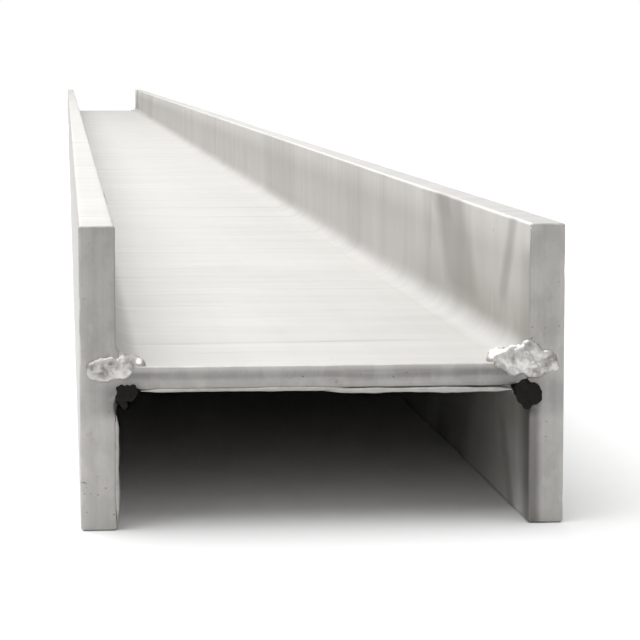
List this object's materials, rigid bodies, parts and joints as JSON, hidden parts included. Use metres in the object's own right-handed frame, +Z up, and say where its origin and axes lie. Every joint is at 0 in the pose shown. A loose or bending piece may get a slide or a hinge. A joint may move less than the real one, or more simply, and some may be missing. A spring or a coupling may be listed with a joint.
{
  "type": "steel h-beam",
  "caption": "Straight steel H-beam with a level web between two upright flanges and rounded roots, cut square at both ends.",
  "frame": {"origin": "on the floor, under the middle of the beam: centre of the box's bottom face", "axes": "+X across the section, +Y along the beam away from the end the picture shows, +Z up, along the flanges' width"},
  "size_m": [0.2, 6, 0.125],
  "materials": {
    "steel": "bare pale-grey mill steel, satin, with faint streaks and small dark specks"
  },
  "bodies": {
    "root": {"h_beam": "steel"}
  },
  "joints": []
}
